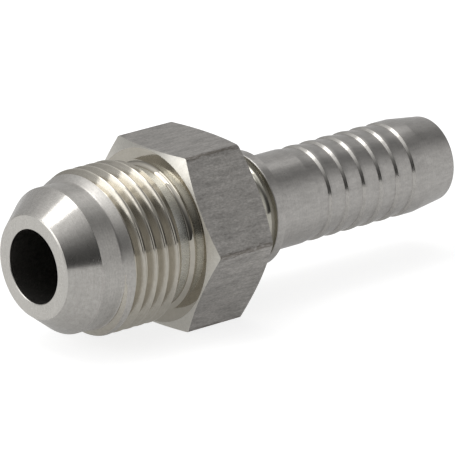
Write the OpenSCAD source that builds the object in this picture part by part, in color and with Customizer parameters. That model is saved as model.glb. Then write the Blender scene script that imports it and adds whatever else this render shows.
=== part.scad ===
// Hose fitting for a hydraulic line, turned in one piece from hexagon bar.
// The axis runs along +X from the nose face to the tip of the hose tail. The
// origin is the middle of the nose face, and one flat of the hexagon faces down.

/* [Nose and cone seat] */
// Diameter of the flat face at the nose
nose_d = 14; // [12.6:0.1:15]
// Angle between the cone seat and the axis
cone_angle = 37; // [32:1:42]
// Distance from the nose face to the thread's lead chamfer
neck_end = 7.05; // [6:0.05:8]
// Radial distance from the thread's root down to the plain neck
neck_under = 0.15; // [0.1:0.05:0.4]
// Angle between the thread's lead chamfer and the axis
lead_angle = 45; // [35:1:50]
// Width of the broken edges round the nose
nose_edge = 0.12; // [0.05:0.01:0.2]

/* [Thread] */
// Outside diameter of the thread
thread_d = 22.2; // [21.6:0.05:23]
// Threads in an inch of length
thread_tpi = 14; // [12:1:16]
// Width of the thread's flat crest
crest_w = 0.24; // [0.15:0.01:0.35]
// Distance from the nose face to the relief groove behind the thread
thread_end = 16.05; // [14:0.05:17]
// Turn of the thread about the axis, which places its first crest
thread_turn = 335; // [0:5:355]

/* [Relief groove] */
// Radial distance from the thread's root down to the relief groove
relief_under = 0.5; // [0.3:0.05:0.8]
// Angle of the relief groove's wall on the thread's side, from the axis
relief_angle = 60; // [45:5:75]
// Radius of the fillet between the relief groove and the hexagon
relief_fillet = 0.6; // [0.3:0.05:0.8]

/* [Hexagon] */
// Distance from the nose face to the shoulder of the hexagon
shoulder = 19.3; // [18.8:0.05:20.5]
// Width of the hexagon across its flats
hex_af = 24; // [23.6:0.1:27]
// Length of the hexagon from the shoulder to its back face
hex_len = 10.6; // [8:0.1:14]
// Diameter over the corners, which are turned off a little
corner_d = 27.55; // [26.4:0.05:27.7]
// Radial distance from the flats in to the edge of the faced ring
ring_inset = 0.2; // [0.1:0.05:0.6]
// Width of the flat between the relief groove's fillet and the faced ring
foot_flat = 0.2; // [0.1:0.05:0.4]
// Angle of the faced ring at the shoulder, from square to the axis
ring_angle = 7; // [1:1:12]
// Angle of the chamfers at both ends of the hexagon, from square to the axis
chamfer_angle = 20; // [15:1:30]

/* [Crimping groove and collar] */
// Diameter of the groove behind the hexagon
groove_d = 13.4; // [12.6:0.1:14.4]
// Length of the groove behind the hexagon
groove_len = 5.25; // [4:0.05:7]
// Radius of the fillet between the groove and the hexagon
groove_fillet = 0.5; // [0.3:0.05:0.8]
// Radius of the fillet between the groove and the collar
collar_fillet = 0.9; // [0.4:0.05:1.1]
// Diameter of the collar that a crimped ferrule holds to
collar_d = 15.8; // [15.2:0.1:17]
// Length of the collar
collar_len = 1.4; // [1:0.05:2.5]
// Width of the broken edges of the collar
collar_edge = 0.1; // [0.05:0.01:0.2]

/* [Hose tail] */
// Diameter of the hose tail over its plain lands and the crests of its steps
tail_d = 13.1; // [12.6:0.05:13.6]
// Length of the plain land behind the collar
land_len = 6.75; // [4:0.05:9]
// Number of steps that hold the hose
step_count = 6; // [3:1:8]
// Distance from one step to the next
step_pitch = 3; // [2.6:0.05:3.4]
// Length of the full diameter behind each step
step_land = 0.65; // [0.3:0.05:1]
// Angle between the tapers of the tail and the axis
taper_angle = 7.5; // [5:0.5:9]
// Length of the plain land behind the last step
tip_land_len = 2.6; // [1:0.1:4]
// Length of the taper at the tip
tip_len = 5.4; // [3:0.1:7]
// Radius of the rounded edge at the tip
tip_round = 0.5; // [0.2:0.05:0.7]

/* [Bore] */
// Diameter of the bore, which runs straight through
bore_d = 10; // [8:0.1:10.6]
// Width of the chamfer at each mouth of the bore
mouth_edge = 0.3; // [0.1:0.05:0.4]

/* [Hidden] */
$fn = 96;

inch = 25.4;
pitch = inch / thread_tpi;
flank_angle = 30;
// Depth of an inch screw thread with sixty degree flanks, 17/24 of its sharp V
thread_depth = 17 / 24 * pitch / (2 * tan(flank_angle));

thread_r = thread_d / 2;
root_r = thread_r - thread_depth;
neck_r = root_r - neck_under;
relief_r = root_r - relief_under;
nose_r = nose_d / 2;
bore_r = bore_d / 2;
cone_len = (neck_r - nose_r) / tan(cone_angle);
lead_end = neck_end + (thread_r - neck_r) / tan(lead_angle);
relief_wall = (thread_r - relief_r) / tan(relief_angle);

flat_r = hex_af / 2;
ring_r = flat_r - ring_inset;
corner_r = corner_d / 2;
hex_sides = 6;
hex_r = flat_r / cos(180 / hex_sides);
ring_foot_r = relief_r + relief_fillet + foot_flat;
ring_edge = shoulder + (ring_r - ring_foot_r) * tan(ring_angle);
hex_back = shoulder + hex_len;
chamfer_depth = (corner_r - ring_r) * tan(chamfer_angle);

// Radius of the bore's chamfers where they run out past the ends
mouth_r = bore_r + 2 * mouth_edge;

groove_r = groove_d / 2;
collar_r = collar_d / 2;
collar_start = hex_back + groove_len;
collar_end = collar_start + collar_len;

tail_r = tail_d / 2;
step_taper = step_pitch - step_land;
valley_r = tail_r - step_taper * tan(taper_angle);
taper_start = collar_end + land_len;
first_step = taper_start + step_taper;
last_step = first_step + (step_count - 1) * step_pitch;
tip_start = last_step + tip_land_len;
tip_r = tail_r - tip_len * tan(taper_angle);
total_len = tip_start + tip_len;

// The thread's groove: a V with a flat root, open a little above the crest
cutter_lift = 0.1;
cutter_r = thread_r + cutter_lift;
root_half = (pitch - crest_w) / 2 - thread_depth * tan(flank_angle);
mouth_half = (pitch - crest_w) / 2 + cutter_lift * tan(flank_angle);
GROOVE = [[-mouth_half, cutter_r], [-root_half, root_r], [root_half, root_r], [mouth_half, cutter_r]];
turn_steps = 36;
// The groove starts over the neck and ends over the relief groove, clear of both
run_start = neck_end - mouth_half;
run_end = thread_end + relief_wall + mouth_half;
run_steps = ceil((run_end - run_start) / pitch * turn_steps);

// Outline of a turned length, as pairs of distance along the axis and radius
module turned(outline) {
    rotate([0, 90, 0]) rotate_extrude() polygon([for (p = outline) [p[1], p[0]]]);
}

// Ring that fills the corner between a cylinder and a face, with a true radius.
// Its foot stands in the cylinder, and side is 1 or -1 for the way it faces.
module fillet_ring(x, inner_r, radius, side) {
    rotate([0, 90, 0]) rotate_extrude() difference() {
        translate([inner_r - radius, side > 0 ? x : x - radius]) square([2 * radius, radius]);
        translate([inner_r + radius, x + side * radius]) circle(radius);
    }
}

// Ring that rounds the outer edge at the end of a cylinder, cut away from it
module edge_ring(x, outer_r, radius) {
    rotate([0, 90, 0]) rotate_extrude() difference() {
        translate([outer_r - radius, x - radius]) square(2 * radius);
        translate([outer_r - radius, x - radius]) circle(radius);
    }
}

// Nose, cone seat, neck, thread before it is cut, and relief groove
module nose_end() {
    turned([
        [0, 0],
        [0, nose_r - nose_edge],
        [nose_edge, nose_r + nose_edge * tan(cone_angle)],
        [cone_len, neck_r],
        [neck_end, neck_r],
        [lead_end, thread_r],
        [thread_end, thread_r],
        [thread_end + relief_wall, relief_r],
        [shoulder + relief_fillet, relief_r],
        [shoulder + relief_fillet, 0],
    ]);
    fillet_ring(shoulder, relief_r, relief_fillet, -1);
}

// Hexagon with a faced ring, chamfered ends and the corners turned off
module hexagon() {
    intersection() {
        translate([shoulder, 0, 0]) rotate([0, 90, 0]) rotate(90)
            cylinder(h = hex_len, r = hex_r, $fn = hex_sides);
        turned([
            [shoulder, 0],
            [shoulder, ring_foot_r],
            [ring_edge, ring_r],
            [ring_edge + chamfer_depth, corner_r],
            [hex_back - chamfer_depth, corner_r],
            [hex_back, ring_r],
            [hex_back, 0],
        ]);
    }
}

// Groove and collar that a crimped ferrule locks into
module collar() {
    turned([
        [hex_back - groove_fillet, 0],
        [hex_back - groove_fillet, groove_r],
        [collar_start, groove_r],
        [collar_start, collar_r - collar_edge],
        [collar_start + collar_edge, collar_r],
        [collar_end - collar_edge, collar_r],
        [collar_end, collar_r - collar_edge],
        [collar_end, 0],
    ]);
    fillet_ring(hex_back, groove_r, groove_fillet, 1);
    fillet_ring(collar_start, groove_r, collar_fillet, -1);
}

// Hose tail: a plain land, the steps that face the hexagon, and a tapered tip
module hose_tail() {
    difference() {
        turned([
            [collar_end - collar_edge, 0],
            [collar_end - collar_edge, tail_r],
            [taper_start, tail_r],
            for (i = [0 : step_count - 1], p = step_outline(first_step + i * step_pitch, i)) p,
            [tip_start, tail_r],
            [total_len, tip_r],
            [total_len, 0],
        ]);
        edge_ring(total_len, tip_r, tip_round);
    }
}

// One step at x: the valley before it, its face, and the land behind the crest
function step_outline(x, i) = i < step_count - 1
    ? [[x, valley_r], [x, tail_r], [x + step_land, tail_r]]
    : [[x, valley_r], [x, tail_r]];

// Bore with its two chamfered mouths
module bore() {
    turned([
        [-mouth_edge, 0],
        [-mouth_edge, mouth_r],
        [mouth_edge, bore_r],
        [total_len - mouth_edge, bore_r],
        [total_len + mouth_edge, mouth_r],
        [total_len + mouth_edge, 0],
    ]);
}

// One section of the thread's groove at step i of its run
function groove_section(i) =
    let (turn = 360 * i / turn_steps, x = run_start + pitch * i / turn_steps)
    [for (p = GROOVE) [x + p[0], p[1] * cos(turn + start_turn), p[1] * sin(turn + start_turn)]];

// Angle at which the run starts, so that a crest stands at thread_turn
start_turn = 360 * (run_start / pitch - 0.5) - thread_turn;

// Solid that the thread's groove takes away: one section swept along the helix
module thread_groove() {
    corners = len(GROOVE);
    last = run_steps * corners;
    polyhedron(
        points = [for (i = [0 : run_steps]) each groove_section(i)],
        faces = [
            [for (k = [0 : corners - 1]) k],
            for (i = [0 : run_steps - 1], k = [0 : corners - 1])
                let (a = i * corners + k, b = i * corners + (k + 1) % corners)
                each [[a, b + corners, b], [a, a + corners, b + corners]],
            [for (k = [corners - 1 : -1 : 0]) last + k],
        ]
    );
}

module fitting() {
    color([0.72, 0.72, 0.70])
    difference() {
        union() {
            nose_end();
            hexagon();
            collar();
            hose_tail();
        }
        bore();
        thread_groove();
    }
}

fitting();
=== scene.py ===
# A stainless steel hose fitting for a hydraulic line, turned in one piece from
# hexagon bar and lying on a white table. Sizes are in millimetres, along an axis
# that runs from the middle of the nose face to the tip of the hose tail.
import math

import bmesh
import bpy
from mathutils import Matrix, Vector


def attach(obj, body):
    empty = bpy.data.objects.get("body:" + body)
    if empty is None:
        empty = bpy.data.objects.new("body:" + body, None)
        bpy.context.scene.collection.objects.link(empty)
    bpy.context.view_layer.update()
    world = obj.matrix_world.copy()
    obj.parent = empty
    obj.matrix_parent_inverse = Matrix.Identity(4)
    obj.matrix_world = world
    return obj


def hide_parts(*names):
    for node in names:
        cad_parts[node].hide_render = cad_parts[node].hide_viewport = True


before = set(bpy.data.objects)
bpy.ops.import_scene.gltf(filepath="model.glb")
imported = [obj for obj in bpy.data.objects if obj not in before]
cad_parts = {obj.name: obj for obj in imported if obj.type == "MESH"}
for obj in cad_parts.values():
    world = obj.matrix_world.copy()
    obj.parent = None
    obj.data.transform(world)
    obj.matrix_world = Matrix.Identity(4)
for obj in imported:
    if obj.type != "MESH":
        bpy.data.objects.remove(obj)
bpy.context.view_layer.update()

# The nose end: a flat nose, the 37 degree cone seat that seals, a plain neck, the
# blank of the male thread and the relief groove behind it. It is turned on a lathe,
# and its outline lists (distance, radius, softened by) for each corner.
NOSE_R = 7.0
NOSE_EDGE = 0.12
CONE = math.tan(math.radians(37))
THREAD_R = 11.1
PITCH = 25.4 / 14
FLANK = math.tan(math.radians(30))
ROOT_R = THREAD_R - 17 / 24 * PITCH / (2 * FLANK)
NECK_R = ROOT_R - 0.15
CONE_END = (NECK_R - NOSE_R) / CONE
NECK_END = 7.05
LEAD_END = NECK_END + THREAD_R - NECK_R
THREAD_END = 16.05
RELIEF_R = ROOT_R - 0.5
RELIEF_WALL = math.tan(math.radians(60))
RELIEF_START = THREAD_END + (THREAD_R - RELIEF_R) / RELIEF_WALL
RELIEF_FILLET = 0.8
SHOULDER = 19.3

nose_end = [
    (0, NOSE_R - NOSE_EDGE, 0),
    (NOSE_EDGE, NOSE_R + NOSE_EDGE * CONE, 0),
    (CONE_END, NECK_R, 0.06),
    (NECK_END, NECK_R, 0.15),
    (LEAD_END, THREAD_R, 0),
    (THREAD_END, THREAD_R, 0),
    (RELIEF_START, RELIEF_R, 0.12),
    (SHOULDER, RELIEF_R, RELIEF_FILLET),
]

# The hexagon: hexagon bar, faced to a shallow ring at the shoulder, chamfered at both
# ends and just touched at its corners in the lathe. This outline is what is turned,
# and the sides of the bar are cut from the blank further down.
FLAT_R = 12.0
CORNER_R = 13.775
RING_R = 11.8
SOFT = 0.03
RING_FOOT = RELIEF_R + RELIEF_FILLET + SOFT
RING_EDGE = SHOULDER + (RING_R - RING_FOOT) * math.tan(math.radians(7))
CHAMFER = (CORNER_R - RING_R) * math.tan(math.radians(20))
HEX_BACK = 29.9

hexagon = [
    (SHOULDER, RING_FOOT, 0),
    (RING_EDGE, RING_R, SOFT),
    (RING_EDGE + CHAMFER, CORNER_R, SOFT),
    (HEX_BACK - CHAMFER, CORNER_R, SOFT),
    (HEX_BACK, RING_R, SOFT),
]

# The hose tail: the groove and collar that a ferrule is crimped to, a plain land,
# six steps that face the hexagon and hold the hose, and a tapered, rounded tip. The
# face of a step slopes a little, from its foot just before to its crest just behind.
GROOVE_R = 6.7
GROOVE_FILLET = 0.5
COLLAR_FILLET = 0.9
COLLAR_R = 7.9
COLLAR = 35.15
COLLAR_END = 36.55
COLLAR_EDGE = 0.1
TAIL_R = 6.55
TAPER_START = 43.3
TAPER = math.tan(math.radians(7.5))
STEPS = 6
STEP_PITCH = 3.0
STEP_LAND = 0.65
STEP_FOOT = 0.09
STEP_CREST = 0.21
VALLEY_R = TAIL_R - (STEP_PITCH - STEP_LAND) * TAPER
FIRST_STEP = TAPER_START + STEP_PITCH - STEP_LAND
TIP_LAND = 2.6
TIP_TAPER = 5.4
TIP_ROUND = 0.45
TIP_START = FIRST_STEP + (STEPS - 1) * STEP_PITCH + TIP_LAND
LENGTH = TIP_START + TIP_TAPER

hose_tail = [
    (HEX_BACK, GROOVE_R, GROOVE_FILLET),
    (COLLAR, GROOVE_R, COLLAR_FILLET),
    (COLLAR, COLLAR_R - COLLAR_EDGE, 0),
    (COLLAR + COLLAR_EDGE, COLLAR_R, 0),
    (COLLAR_END - COLLAR_EDGE, COLLAR_R, 0),
    (COLLAR_END, COLLAR_R - COLLAR_EDGE, 0),
    (COLLAR_END, TAIL_R, 0.06),
    (TAPER_START, TAIL_R, SOFT),
]
for step in range(STEPS):
    face = FIRST_STEP + step * STEP_PITCH
    hose_tail.append((face - STEP_FOOT, VALLEY_R, SOFT))
    hose_tail.append((face + STEP_CREST, TAIL_R, SOFT))
    if step < STEPS - 1:
        hose_tail.append((face + STEP_LAND, TAIL_R, SOFT))
hose_tail += [
    (TIP_START, TAIL_R, SOFT),
    (LENGTH, TAIL_R - TIP_TAPER * TAPER, TIP_ROUND),
]

# The bore: drilled straight through, with a small chamfer at each mouth. It closes
# the outline, which is spun round the axis as one sixth of the blank and then
# repeated. A corner that is softened by more than FILLET gets more segments.
BORE_R = 5.0
MOUTH = 0.1
AXIS = (1, 0, 0)
FACETS = 384
SECTORS = 6
SECTOR = 2 * math.pi / SECTORS
FILLET = 0.2
FILLET_SEGMENTS = 12
EDGE_SEGMENTS = 4
MERGE = 0.0005

bore = [
    (LENGTH, BORE_R + MOUTH, SOFT),
    (LENGTH - MOUTH, BORE_R, SOFT),
    (MOUTH, BORE_R, SOFT),
    (0, BORE_R + MOUTH, SOFT),
]


def face_outwards(bm):
    """Turns every face of a closed mesh outwards."""
    bmesh.ops.recalc_face_normals(bm, faces=bm.faces)
    if bm.calc_volume(signed=True) < 0:
        bmesh.ops.reverse_faces(bm, faces=bm.faces)


outline = nose_end + hexagon + hose_tail + bore
steel = bmesh.new()
corners = [steel.verts.new((x, 0, r)) for x, r, _ in outline]
for here, there in zip(corners, corners[1:] + corners[:1]):
    steel.edges.new((here, there))
for corner, (_, _, soft) in zip(corners, outline):
    if soft:
        segments = FILLET_SEGMENTS if soft > FILLET else EDGE_SEGMENTS
        bmesh.ops.bevel(steel, geom=[corner], offset=soft, affect="VERTICES",
                        segments=segments, profile=0.5, material=-1)
bmesh.ops.spin(steel, geom=steel.verts[:] + steel.edges[:], axis=AXIS,
               angle=SECTOR, steps=FACETS // SECTORS)
bmesh.ops.spin(steel, geom=steel.verts[:] + steel.edges[:] + steel.faces[:], axis=AXIS,
               angle=SECTOR * (SECTORS - 1), steps=SECTORS - 1, use_duplicate=True)
bmesh.ops.remove_doubles(steel, verts=steel.verts, dist=MERGE)
face_outwards(steel)

# The thread: a V groove cut as one long right-hand spiral, which starts on the lead
# chamfer and runs out into the relief groove. Its narrow flat root and the edges of
# its crests are eased a little, as the cutter leaves them.
CREST = 0.24
EASED = 0.07
ROOT_HALF = (PITCH - CREST) / 2 - (THREAD_R - ROOT_R) * FLANK
FLANK_TOP = (PITCH - CREST) / 2 - EASED * FLANK
MOUTH_HALF = (PITCH - CREST) / 2 + EASED
OVER_CREST = 0.005
LIFT = 0.1
FIRST_CREST = math.radians(335)
RUN_FACETS = 192
RUN_START = NECK_END - MOUTH_HALF
RUN_END = RELIEF_START + MOUTH_HALF
RUN_STEPS = math.ceil((RUN_END - RUN_START) / PITCH * RUN_FACETS)

groove_side = [
    (ROOT_HALF - EASED, ROOT_R),
    (ROOT_HALF + EASED * FLANK, ROOT_R + EASED),
    (FLANK_TOP, THREAD_R - EASED),
    (MOUTH_HALF, THREAD_R + OVER_CREST),
    (MOUTH_HALF, THREAD_R + LIFT),
]
groove_outline = [(-x, r) for x, r in reversed(groove_side)] + groove_side
groove = bmesh.new()
groove.faces.new([groove.verts.new((RUN_START + x, r, 0)) for x, r in groove_outline])
# Turned so that a crest, half a pitch away from the groove, stands at FIRST_CREST
start = 2 * math.pi * (RUN_START / PITCH - 0.5) - FIRST_CREST
bmesh.ops.rotate(groove, verts=groove.verts, cent=(0, 0, 0), matrix=Matrix.Rotation(start, 3, "X"))
bmesh.ops.spin(groove, geom=groove.faces[:], axis=AXIS, dvec=(PITCH / RUN_FACETS, 0, 0),
               angle=2 * math.pi * RUN_STEPS / RUN_FACETS, steps=RUN_STEPS)
face_outwards(groove)


def cut_away(bm, tool):
    """The first solid less the second."""
    pair = []
    for name, part in (("blank", bm), ("tool", tool)):
        mesh = bpy.data.meshes.new(name)
        part.to_mesh(mesh)
        part.free()
        pair.append(bpy.data.objects.new(name, mesh))
        bpy.context.scene.collection.objects.link(pair[-1])
    cut = pair[0].modifiers.new("cut", "BOOLEAN")
    cut.operation = "DIFFERENCE"
    cut.solver = "MANIFOLD"
    cut.object = pair[1]
    done = bmesh.new()
    done.from_object(pair[0], bpy.context.evaluated_depsgraph_get())
    for used in pair:
        bpy.data.meshes.remove(used.data)
    return done


steel = cut_away(steel, groove)
bmesh.ops.remove_doubles(steel, verts=steel.verts, dist=MERGE)

# The finishes: bare stainless steel as each tool left it, bright with fine rings where
# it is turned, and dull on the sides of the bar. Real rings and grain are less than
# 0.1 mm apart, too fine to show from here, so both are drawn about three times coarser.
SPAN = {"From Min": 0.3, "From Max": 0.7}  # holds most values of a noise pattern
ACROSS_RINGS = 0.25  # a quarter turn, which lays the smear across the rings
UNEVEN = 0.15  # share by which the roughness of a finish varies each way


def linear(hex_colour):
    """An sRGB hex colour as linear red, green and blue, with full alpha."""
    parts = [int(hex_colour[i : i + 2], 16) / 255 for i in (1, 3, 5)]
    return [c / 12.92 if c <= 0.04045 else ((c + 0.055) / 1.055) ** 2.4 for c in parts] + [1.0]


def add_node(tree, kind, inputs=None, **settings):
    """Adds a node with its settings. Each input is a value, or a socket to link it to."""
    node = tree.nodes.new(kind)
    for key, value in settings.items():
        setattr(node, key, value)
    for key, value in (inputs or {}).items():
        if isinstance(value, bpy.types.NodeSocket):
            tree.links.new(value, node.inputs[key])
        else:
            node.inputs[key].default_value = value
    return node


def flecks(tree, size, detail=3.0, roughness=0.7):
    """Uneven flecks of (along, across) mm, as grain, streaks or stains."""
    place = add_node(tree, "ShaderNodeTexCoord").outputs["Object"]
    scale = (1000 / size[0], 1000 / size[1], 1000 / size[1])
    scaled = add_node(tree, "ShaderNodeVectorMath", {0: place, 1: scale}, operation="MULTIPLY").outputs[0]
    noise = {"Vector": scaled, "Scale": 1.0, "Detail": detail, "Roughness": roughness}
    return add_node(tree, "ShaderNodeTexNoise", noise).outputs["Fac"]


def axis_radius(tree):
    """Distance from the fitting's axis, in metres."""
    place = add_node(tree, "ShaderNodeTexCoord").outputs["Object"]
    across = add_node(tree, "ShaderNodeVectorMath", {0: place, 1: (0, 1, 1)}, operation="MULTIPLY")
    length = add_node(tree, "ShaderNodeVectorMath", {0: across.outputs[0]}, operation="LENGTH")
    return length.outputs["Value"]


def tool_rings(tree, apart):
    """Fine uneven rings left by a lathe tool. They follow distance and radius."""
    place = add_node(tree, "ShaderNodeTexCoord").outputs["Object"]
    along = add_node(tree, "ShaderNodeSeparateXYZ", {"Vector": place}).outputs["X"]
    rings = add_node(tree, "ShaderNodeCombineXYZ", {"X": along, "Y": axis_radius(tree)}).outputs[0]
    noise = {"Vector": rings, "Scale": 1000 / apart, "Detail": 2.0, "Roughness": 0.6}
    return add_node(tree, "ShaderNodeTexNoise", noise).outputs["Fac"]


def darkened(tree, colour, pattern, share):
    """The colour, made darker by up to a share where the pattern is strong."""
    kept = {"Value": pattern, **SPAN, "To Min": 1.0, "To Max": 1 - share}
    film = add_node(tree, "ShaderNodeMapRange", kept).outputs[0]
    layers = {"Fac": 1.0, "Color1": colour, "Color2": film}
    return add_node(tree, "ShaderNodeMixRGB", layers, blend_type="MULTIPLY").outputs[0]


def bare_steel(name, light, dark, roughness, smear, grain, depth, rings=None, stains=(3.0, 1.2, 0.06)):
    """Bare steel with light and dark grain of (along, across) mm that stands out by depth.
    Smear is how far its reflections are drawn out across the rings that a tool leaves.
    Rings are (apart, depth, share darkened), and stains (along, across, share darkened)."""
    material = bpy.data.materials.new(name)
    material.use_nodes = True
    tree = material.node_tree
    specks = flecks(tree, grain)
    shade = add_node(tree, "ShaderNodeMapRange", {"Value": specks, **SPAN}).outputs[0]
    shades = {"Fac": shade, "Color1": linear(light), "Color2": linear(dark)}
    colour = add_node(tree, "ShaderNodeMixRGB", shades).outputs[0]
    clouds = flecks(tree, stains[:2], detail=4.0, roughness=0.6)
    colour = darkened(tree, colour, clouds, stains[2])
    least, most = roughness * (1 - UNEVEN), roughness * (1 + UNEVEN)
    polish = {"Value": specks, **SPAN, "To Min": least, "To Max": most}
    relief = {"Height": specks, "Strength": 1.0, "Distance": depth / 1000}
    if rings:
        apart, ring_depth, share = rings
        turned = tool_rings(tree, apart)
        colour = darkened(tree, colour, turned, share)
        ridges = {"Height": turned, "Strength": 1.0, "Distance": ring_depth / 1000}
        relief["Normal"] = add_node(tree, "ShaderNodeBump", ridges).outputs[0]
    shader = tree.nodes["Principled BSDF"]
    shader.inputs["Metallic"].default_value = 1.0
    shader.inputs["Anisotropic"].default_value = smear
    shader.inputs["Anisotropic Rotation"].default_value = ACROSS_RINGS
    tree.links.new(colour, shader.inputs["Base Color"])
    tree.links.new(add_node(tree, "ShaderNodeMapRange", polish).outputs[0], shader.inputs["Roughness"])
    tree.links.new(add_node(tree, "ShaderNodeBump", relief).outputs[0], shader.inputs["Normal"])
    if smear:
        round_axis = add_node(tree, "ShaderNodeTangent", direction_type="RADIAL", axis="X")
        tree.links.new(round_axis.outputs[0], shader.inputs["Tangent"])
    return material


# The nose is faced with a fine feed, and looks pale and even.
faced_nose = bare_steel("faced_nose_steel", "#e2dfd9", "#d4d1cb", 0.30, 0.5,
                        grain=(0.3, 0.3), depth=0.001)
# The cone seat and the faces of the steps are turned bright, with long clear streaks of
# light that run across their rings.
bright_turned = bare_steel("bright_turned_steel", "#d2cfca", "#c4c1bc", 0.24, 0.9,
                           grain=(0.25, 0.5), depth=0.0015, rings=(0.25, 0.0006, 0.08),
                           stains=(1.5, 0.6, 0.12))
# The neck and the thread's lead are turned coarser, and look grey and soft.
dull_turned = bare_steel("dull_turned_steel", "#d8d5d0", "#c2bfba", 0.36, 0.3,
                         grain=(0.2, 0.3), depth=0.004, rings=(0.3, 0.002, 0.10),
                         stains=(1.5, 0.6, 0.12))
# The thread is cut with oil and burnished by its cutter, so its flanks mirror each
# other, a little warm in colour.
thread_cut = bare_steel("thread_cut_steel", "#d4cfc4", "#c9c4b9", 0.17, 0.8,
                        grain=(0.3, 0.6), depth=0.0008, rings=(0.2, 0.0010, 0.10))
# The floor of the relief groove is cut with a broad tool, and looks pale and smooth.
relief_turned = bare_steel("relief_turned_steel", "#ecece5", "#dededa", 0.28, 0.2,
                           grain=(1.5, 0.3), depth=0.0006, rings=(0.25, 0.0004, 0.06))
# The ring at the shoulder is faced almost to a mirror, and shows the groove below it.
faced_ring = bare_steel("faced_ring_steel", "#c9c4b9", "#c1bcb1", 0.07, 0.8,
                        grain=(0.3, 0.6), depth=0.0006, rings=(0.2, 0.0005, 0.05))
# The front chamfer is turned in one pass, and looks pale and even.
chamfer_turned = bare_steel("chamfer_turned_steel", "#e8e5dd", "#dcd9d1", 0.32, 0.5,
                            grain=(0.3, 0.3), depth=0.001)
# The groove for the ferrule is polished, and mirrors the collar.
polished_groove = bare_steel("polished_groove_steel", "#cbc8bd", "#bfbcb1", 0.14, 0.8,
                             grain=(0.3, 0.6), depth=0.0006, rings=(0.2, 0.0006, 0.05))
# The tail is turned to a satin, with soft streaks of light and cloudy stains.
satin_turned = bare_steel("satin_turned_steel", "#d4d1cd", "#c1beba", 0.32, 0.45,
                          grain=(0.18, 0.25), depth=0.003, rings=(0.3, 0.0015, 0.08),
                          stains=(1.6, 0.5, 0.18))
# The bore is drilled, and looks dull and almost black past its mouth.
drilled = bare_steel("drilled_steel", "#a5a39f", "#8c8a86", 0.36, 0.0,
                     grain=(0.5, 0.5), depth=0.002)
# The sides of the hexagon keep the skin of the drawn bar, a dull grey with short dark
# marks along the bar.
drawn_bar = bare_steel("drawn_bar_steel", "#d3cfcb", "#aba8a3", 0.45, 0.0,
                       grain=(0.45, 0.2), depth=0.008, stains=(3.5, 0.7, 0.34))

# The corners of the hexagon are drawn darker, in short streaks along the bar. A
# streak counts as further out from the axis by up to RAGGED, so the edge is uneven.
STREAK = (1.2, 0.25)
RAGGED = 0.9
DARK_CORNER_FROM = 14.05
DARK_CORNER_FULL = 14.25
DARK_CORNER_SHARE = 0.8

tree = drawn_bar.node_tree
base = tree.nodes["Principled BSDF"].inputs["Base Color"]
reach = {0: flecks(tree, STREAK), 1: RAGGED / 1000, 2: axis_radius(tree)}
ragged = add_node(tree, "ShaderNodeMath", reach, operation="MULTIPLY_ADD").outputs[0]
# From this radius outwards the colour is mixed towards a dark grey, up to a share.
edge = {"From Min": DARK_CORNER_FROM / 1000, "From Max": DARK_CORNER_FULL / 1000, "To Min": 0.0, "To Max": DARK_CORNER_SHARE}
dark_corner = add_node(tree, "ShaderNodeMapRange", {"Value": ragged, **edge}).outputs[0]
layers = {"Fac": dark_corner, "Color1": base.links[0].from_socket, "Color2": linear("#77716a")}
tree.links.new(add_node(tree, "ShaderNodeMixRGB", layers).outputs[0], base)

# Each turned face takes its finish from where it lies along the axis, apart from the
# bore, the thread's lead chamfer and the faces of the steps.
FINISHES = [faced_nose, bright_turned, dull_turned, thread_cut, relief_turned, faced_ring,
            chamfer_turned, polished_groove, satin_turned, drilled, drawn_bar]
ZONES = [
    (NOSE_EDGE / 2, faced_nose),
    (CONE_END, bright_turned),
    (NECK_END, dull_turned),
    (RELIEF_START, thread_cut),
    (SHOULDER - RELIEF_FILLET, relief_turned),
    (RING_EDGE, faced_ring),
    (RING_EDGE + CHAMFER, chamfer_turned),
    (HEX_BACK - CHAMFER, drawn_bar),
    (HEX_BACK, satin_turned),
    (COLLAR + COLLAR_EDGE / 2, polished_groove),
    (math.inf, satin_turned),
]
BORE_REACH = BORE_R + 0.01  # the middles of the bore's faces lie within this radius
LEAD_DEPTH = 0.03  # and those of the lead's faces within this of its true cone
STEP_FACING = -0.3  # a step's face looks back along the axis by more than this

for face in steel.faces:
    x, y, z = face.calc_center_median()
    radius = math.hypot(y, z)
    lead_r = NECK_R + x - NECK_END
    if radius < BORE_REACH:
        finish = drilled
    elif NECK_END < x < LEAD_END and radius > lead_r - LEAD_DEPTH:
        finish = dull_turned
    elif TAPER_START < x < TIP_START and face.normal.x < STEP_FACING:
        finish = bright_turned
    else:
        finish = next(finish for end, finish in ZONES if x < end)
    face.material_index = FINISHES.index(finish)

# The sides of the bar: six flats, which are cut from the blank as six planes. They
# leave curved edges on the chamfers, as turning the bar does.
HEX_SIDES = 6
for side in range(HEX_SIDES):
    angle = 2 * math.pi * (side + 0.5) / HEX_SIDES
    facing = Vector((0, math.cos(angle), math.sin(angle)))
    cut = bmesh.ops.bisect_plane(steel, geom=steel.verts[:] + steel.edges[:] + steel.faces[:],
                                 plane_co=facing * FLAT_R, plane_no=facing, clear_outer=True)
    rim = [g for g in cut["geom_cut"] if isinstance(g, bmesh.types.BMEdge)]
    for flat in bmesh.ops.contextual_create(steel, geom=rim)["faces"]:
        flat.material_index = FINISHES.index(drawn_bar)
face_outwards(steel)

SHARP = math.radians(11)  # edges that turn by more than this stay sharp


def new_piece(name, bm):
    """An object from a bmesh drawn in millimetres, with smooth faces and sharp corners."""
    for face in bm.faces:
        face.smooth = True
    for edge in bm.edges:
        edge.smooth = len(edge.link_faces) == 2 and edge.calc_face_angle(0) < SHARP
    bmesh.ops.scale(bm, vec=(0.001, 0.001, 0.001), verts=bm.verts)
    mesh = bpy.data.meshes.new(name)
    bm.to_mesh(mesh)
    bm.free()
    piece = bpy.data.objects.new(name, mesh)
    bpy.context.scene.collection.objects.link(piece)
    return piece


fitting = new_piece("turned_fitting", steel)
for material in FINISHES:
    fitting.data.materials.append(material)
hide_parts("fitting")
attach(fitting, "root")

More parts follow.
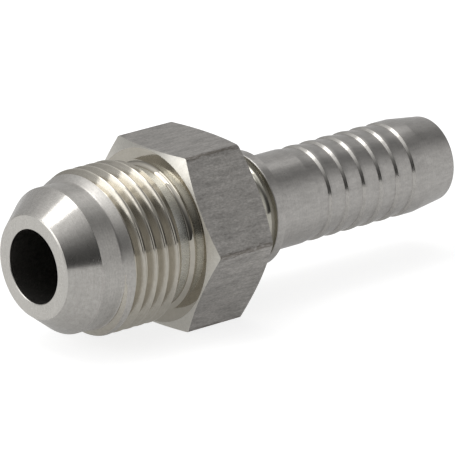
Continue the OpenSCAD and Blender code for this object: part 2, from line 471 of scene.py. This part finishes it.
# The table: a matt white sheet that the fitting lies on. It shows near white to the
# camera and greyer in the steel, and it keeps the fitting's shadow.
TABLE_REACH = 4000.0
TO_CAMERA = 0.80
TO_STEEL = 0.34

white_sheet = bpy.data.materials.new("white_sheet")
white_sheet.use_nodes = True
tree = white_sheet.node_tree
shader = tree.nodes["Principled BSDF"]
shader.inputs["Base Color"].default_value = linear("#b0b0b0")
shader.inputs["Roughness"].default_value = 1.0
shader.inputs["Specular IOR Level"].default_value = 0.0
shader.inputs["Emission Color"].default_value = (1, 1, 1, 1)
path = add_node(tree, "ShaderNodeLightPath").outputs
rays = {0: path["Is Camera Ray"], 1: path["Is Transmission Ray"]}
seen = add_node(tree, "ShaderNodeMath", rays, operation="MAXIMUM").outputs[0]
in_view = add_node(tree, "ShaderNodeMath", {0: seen, 1: TO_CAMERA}, operation="MULTIPLY").outputs[0]
in_steel = {0: path["Is Glossy Ray"], 1: TO_STEEL, 2: in_view}
glow = add_node(tree, "ShaderNodeMath", in_steel, operation="MULTIPLY_ADD").outputs[0]
tree.links.new(glow, shader.inputs["Emission Strength"])

sheet = bmesh.new()
bmesh.ops.create_grid(sheet, x_segments=1, y_segments=1, size=TABLE_REACH)
bmesh.ops.translate(sheet, verts=sheet.verts, vec=(0, 0, -FLAT_R))
table = new_piece("table", sheet)
table.data.materials.append(white_sheet)

# The studio: a pale tent, darkest at the front left where the camera looks in. Its
# light is broad overhead and at the front right, with a faint patch at the back, a small
# one high up and a low glow on the left. A patch is (towards, strength, falloff).
TENT = 0.05
PATCHES = [
    ((-0.5, 0.2, 0.84), 1.1, 4),
    ((0.72, -0.66, 0.2), 0.74, 7),
    ((-0.993, -0.12, 0.0), 0.22, 120),
    ((0.24, -0.12, 0.963), 1.4, 60),
    ((0.4, 0.9, 0.15), 0.5, 2),
]

room = bpy.data.worlds.new("pale_tent")
bpy.context.scene.world = room
room.use_nodes = True
tree = room.node_tree
direction = add_node(tree, "ShaderNodeTexCoord").outputs["Generated"]
light = TENT
for towards, strength, falloff in PATCHES:
    pair = {0: direction, 1: towards}
    nearness = add_node(tree, "ShaderNodeVectorMath", pair, operation="DOT_PRODUCT").outputs["Value"]
    front = add_node(tree, "ShaderNodeMath", {0: nearness, 1: 0.0}, operation="MAXIMUM").outputs[0]
    patch = add_node(tree, "ShaderNodeMath", {0: front, 1: falloff}, operation="POWER").outputs[0]
    added = {0: patch, 1: strength, 2: light}
    light = add_node(tree, "ShaderNodeMath", added, operation="MULTIPLY_ADD").outputs[0]
background = tree.nodes["Background"]
background.inputs["Color"].default_value = (1, 1, 1, 1)
tree.links.new(light, background.inputs["Strength"])


def softbox(name, place, aim, size, power):
    """A square-cornered area lamp that is aimed at a point, with its power in watts."""
    lamp = bpy.data.lights.new(name, "AREA")
    lamp.shape = "RECTANGLE"
    lamp.size = size[0] / 1000
    lamp.size_y = size[1] / 1000
    lamp.energy = power
    holder = bpy.data.objects.new(name, lamp)
    holder.location = Vector(place) / 1000
    holder.rotation_euler = (Vector(aim) - Vector(place)).to_track_quat("-Z", "Y").to_euler()
    holder.visible_camera = False
    bpy.context.scene.collection.objects.link(holder)


softbox("overhead_softbox", (-150, 270, 1000), (-150, 270, 0), (850, 480), 2.8)
softbox("side_softbox", (650, 330, 1000), (650, 330, 0), (750, 480), 0.5)
softbox("left_softbox", (-950, 310, 440), (0, 0, 440), (650, 880), 2.4)

# The camera looks at the fitting from the front, above and to the left, through a long
# lens from far away.
VIEW_FROM = Vector((-454.32, -580.51, 250.98))
VIEW_AT = Vector((27.485, -6.575, 0.858))
ROLL = math.radians(-0.724)

camera = bpy.data.objects.new("camera", bpy.data.cameras.new("camera"))
camera.data.lens = 474.7
camera.data.sensor_width = 36
camera.data.clip_start = 0.05
camera.data.clip_end = 20
camera.location = VIEW_FROM / 1000
aimed = (VIEW_AT - VIEW_FROM).to_track_quat("-Z", "Y").to_matrix()
camera.rotation_mode = "QUATERNION"
camera.rotation_quaternion = (aimed @ Matrix.Rotation(ROLL, 3, "Z")).to_quaternion()
bpy.context.scene.collection.objects.link(camera)
bpy.context.scene.camera = camera
bpy.context.scene.view_settings.view_transform = "Standard"
